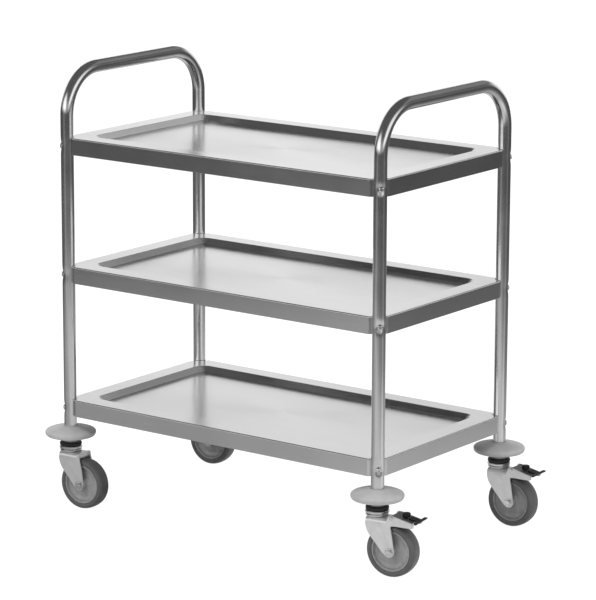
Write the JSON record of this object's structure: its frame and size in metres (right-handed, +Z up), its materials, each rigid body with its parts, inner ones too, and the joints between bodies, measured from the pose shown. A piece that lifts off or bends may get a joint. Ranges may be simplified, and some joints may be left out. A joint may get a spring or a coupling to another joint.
{
  "type": "food service trolley",
  "caption": "Wheeled food service trolley: bent-tube end frames with push handles, shelves with sunk trays and deep skirts, round corner buffers, swivel castors with foot brakes.",
  "frame": {"origin": "on the floor, under the middle of the whole footprint, brake pedals and buffers included", "axes": "+X along the trolley towards the braked castors, +Y across it, +Z up"},
  "size_m": [0.8846, 0.51, 0.88],
  "materials": {
    "tube_steel": "polished bent tube",
    "sheet_steel": "satin pressed sheet",
    "zinc_plate": "zinc plated, satin bright",
    "buffer_plastic": "moulded mid grey",
    "wheel_plastic": "moulded grey wheel centre",
    "tyre_rubber": "non-marking dark grey tyre",
    "black_coat": "black coated pedal and adjusting screw"
  },
  "bodies": {
    "trolley_frame": {"end_frame_left": "tube_steel", "end_frame_right": "tube_steel", "shelf_top": "sheet_steel", "shelf_middle": "sheet_steel", "shelf_bottom": "sheet_steel", "screw_top_fl": "zinc_plate", "screw_top_fr": "zinc_plate", "screw_top_rr": "zinc_plate", "screw_top_rl": "zinc_plate", "screw_middle_fl": "zinc_plate", "screw_middle_fr": "zinc_plate", "screw_middle_rr": "zinc_plate", "screw_middle_rl": "zinc_plate", "screw_bottom_fl": "zinc_plate", "screw_bottom_fr": "zinc_plate", "screw_bottom_rr": "zinc_plate", "screw_bottom_rl": "zinc_plate", "buffer_fl": "buffer_plastic", "buffer_fr": "buffer_plastic", "buffer_rr": "buffer_plastic", "buffer_rl": "buffer_plastic", "castor_fl_stem": "zinc_plate", "castor_fl_head": "zinc_plate", "castor_fr_stem": "zinc_plate", "castor_fr_head": "zinc_plate", "castor_rr_stem": "zinc_plate", "castor_rr_head": "zinc_plate", "castor_rl_stem": "zinc_plate", "castor_rl_head": "zinc_plate"},
    "castor_fl_swivel": {"castor_fl_fork": "zinc_plate", "castor_fl_axle_bolt": "zinc_plate", "castor_fl_axle_nut": "zinc_plate"},
    "castor_fl_roller": {"castor_fl_wheel": "wheel_plastic", "castor_fl_tyre": "tyre_rubber"},
    "castor_fr_swivel": {"castor_fr_fork": "zinc_plate", "castor_fr_axle_bolt": "zinc_plate", "castor_fr_axle_nut": "zinc_plate", "brake_fr_pin": "zinc_plate"},
    "castor_fr_roller": {"castor_fr_wheel": "wheel_plastic", "castor_fr_tyre": "tyre_rubber"},
    "brake_fr": {"brake_fr_lever": "zinc_plate", "brake_fr_pedal": "black_coat", "brake_fr_screw": "black_coat"},
    "castor_rr_swivel": {"castor_rr_fork": "zinc_plate", "castor_rr_axle_bolt": "zinc_plate", "castor_rr_axle_nut": "zinc_plate", "brake_rr_pin": "zinc_plate"},
    "castor_rr_roller": {"castor_rr_wheel": "wheel_plastic", "castor_rr_tyre": "tyre_rubber"},
    "brake_rr": {"brake_rr_lever": "zinc_plate", "brake_rr_pedal": "black_coat", "brake_rr_screw": "black_coat"},
    "castor_rl_swivel": {"castor_rl_fork": "zinc_plate", "castor_rl_axle_bolt": "zinc_plate", "castor_rl_axle_nut": "zinc_plate"},
    "castor_rl_roller": {"castor_rl_wheel": "wheel_plastic", "castor_rl_tyre": "tyre_rubber"}
  },
  "joints": [
    {"name": "swivel_fl", "type": "hinge", "parent": "trolley_frame", "child": "castor_fl_swivel", "pos_m": [-0.39231, -0.205, 0.113], "axis": [0, 0, 1], "continuous": true},
    {"name": "roll_fl", "type": "hinge", "parent": "castor_fl_swivel", "child": "castor_fl_roller", "pos_m": [-0.35889, -0.20266, 0.05], "axis": [-0.0698, 0.9976, 0], "continuous": true},
    {"name": "swivel_fr", "type": "hinge", "parent": "trolley_frame", "child": "castor_fr_swivel", "pos_m": [0.34769, -0.205, 0.113], "axis": [0, 0, 1], "continuous": true},
    {"name": "roll_fr", "type": "hinge", "parent": "castor_fr_swivel", "child": "castor_fr_roller", "pos_m": [0.38078, -0.19976, 0.05], "axis": [-0.1564, 0.9877, 0], "continuous": true},
    {"name": "brake_fr_press", "type": "hinge", "parent": "castor_fr_swivel", "child": "brake_fr", "pos_m": [0.38522, -0.19906, 0.1155], "axis": [-0.1564, 0.9877, 0], "range_deg": [0, 11]},
    {"name": "swivel_rr", "type": "hinge", "parent": "trolley_frame", "child": "castor_rr_swivel", "pos_m": [0.34769, 0.205, 0.113], "axis": [0, 0, 1], "continuous": true},
    {"name": "roll_rr", "type": "hinge", "parent": "castor_rr_swivel", "child": "castor_rr_roller", "pos_m": [0.38114, 0.20675, 0.05], "axis": [-0.0523, 0.9986, 0], "continuous": true},
    {"name": "brake_rr_press", "type": "hinge", "parent": "castor_rr_swivel", "child": "brake_rr", "pos_m": [0.38564, 0.20699, 0.1155], "axis": [-0.0523, 0.9986, 0], "range_deg": [0, 11]},
    {"name": "swivel_rl", "type": "hinge", "parent": "trolley_frame", "child": "castor_rl_swivel", "pos_m": [-0.39231, 0.205, 0.113], "axis": [0, 0, 1], "continuous": true},
    {"name": "roll_rl", "type": "hinge", "parent": "castor_rl_swivel", "child": "castor_rl_roller", "pos_m": [-0.35889, 0.20734, 0.05], "axis": [-0.0698, 0.9976, 0], "continuous": true}
  ]
}
